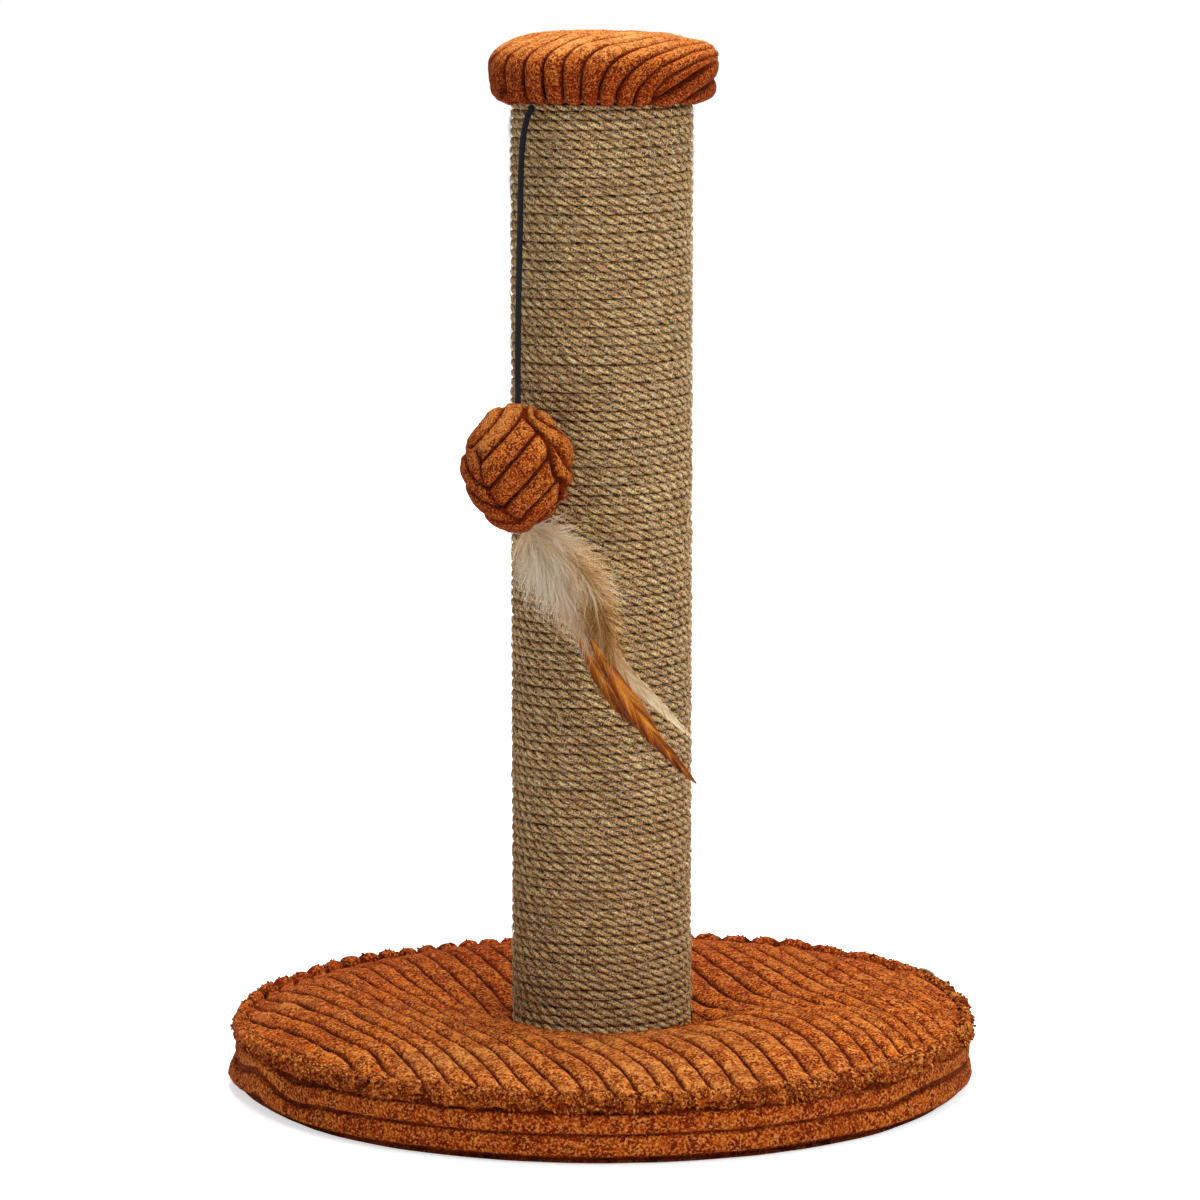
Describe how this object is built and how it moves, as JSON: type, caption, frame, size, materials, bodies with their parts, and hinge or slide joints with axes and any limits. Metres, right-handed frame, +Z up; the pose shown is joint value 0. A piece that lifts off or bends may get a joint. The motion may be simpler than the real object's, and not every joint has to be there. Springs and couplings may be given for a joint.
{
  "type": "cat scratching post",
  "caption": "Cat scratching post: a rope-wound post on a round padded corduroy base, with a padded cap and a stuffed ball with feathers hanging on an elastic cord.",
  "frame": {"origin": "centre of the base's underside, on the floor", "axes": "+Z up along the post, -Y towards the front, where the toy hangs; +X to the right seen from the front"},
  "size_m": [0.3726, 0.3726, 0.5276],
  "materials": {
    "corduroy": "ribbed rust-orange corduroy with a soft pile",
    "dark_cloth": "thin matt non-woven cloth",
    "tab_cloth": "bare woven tape",
    "foam": "open-cell foam and soft stuffing",
    "fibreboard": "sawn fibreboard",
    "cardboard": "wound cardboard tube",
    "jute": "three-strand twisted jute, fuzzy and matt",
    "steel": "zinc-plated",
    "cord_cloth": "black braided elastic cord",
    "cream_feather": "soft cream down",
    "rust_feather": "glossy golden-brown feather",
    "tan_feather": "pale tan feather"
  },
  "bodies": {
    "post_and_base": {"base_board": "fibreboard", "base_foam": "foam", "base_cover_top": "corduroy", "base_cover_band": "corduroy", "base_bottom_cloth": "dark_cloth", "base_seam_tab": "tab_cloth", "base_bolt": "steel", "base_washer": "steel", "base_hem_staple_1": "steel", "base_hem_staple_2": "steel", "base_hem_staple_3": "steel", "base_hem_staple_4": "steel", "base_hem_staple_5": "steel", "base_hem_staple_6": "steel", "post_core": "cardboard", "post_bottom_plug": "fibreboard", "post_bottom_nut": "steel", "post_top_plug": "fibreboard", "post_top_nut": "steel", "jute_rope": "jute", "rope_staple_bottom": "steel", "rope_staple_top": "steel", "cap_board": "fibreboard", "cap_foam": "foam", "cap_cover": "corduroy", "cap_bolt": "steel", "cap_staple_1": "steel", "cap_staple_2": "steel", "cap_staple_3": "steel", "cap_staple_4": "steel"},
    "cord_knot": {"toy_cord_knot": "cord_cloth"},
    "cord": {"toy_cord": "cord_cloth"},
    "inner_knot": {"toy_inner_knot": "cord_cloth"},
    "ball_and_feathers": {"toy_ball_cover": "corduroy", "toy_ball_stuffing": "foam", "toy_feather_fluff": "cream_feather", "toy_feather_front": "rust_feather", "toy_feather_middle": "rust_feather", "toy_feather_rear": "tan_feather"}
  },
  "joints": [
    {"name": "toy_swing_out", "type": "hinge", "parent": "post_and_base", "child": "cord_knot", "pos_m": [-0.0343, -0.0355, 0.491], "axis": [-0.829, 0.5592, 0], "range_deg": [0, 70]},
    {"name": "toy_swing_side", "type": "hinge", "parent": "cord_knot", "child": "cord", "pos_m": [-0.0343, -0.0355, 0.491], "axis": [-0.5592, -0.829, 0], "range_deg": [-40, 40]},
    {"name": "cord_stretch", "type": "slide", "parent": "cord", "child": "inner_knot", "axis": [0, 0, -1], "range_m": [0, 0.06], "stiffness_N_per_m": 40, "springref_m": -0.008, "deforming": ["toy_cord"]},
    {"name": "ball_spin", "type": "hinge", "parent": "inner_knot", "child": "ball_and_feathers", "pos_m": [-0.04083, -0.06054, 0.3183], "axis": [0, 0, -1], "range_deg": [0, 180]}
  ]
}
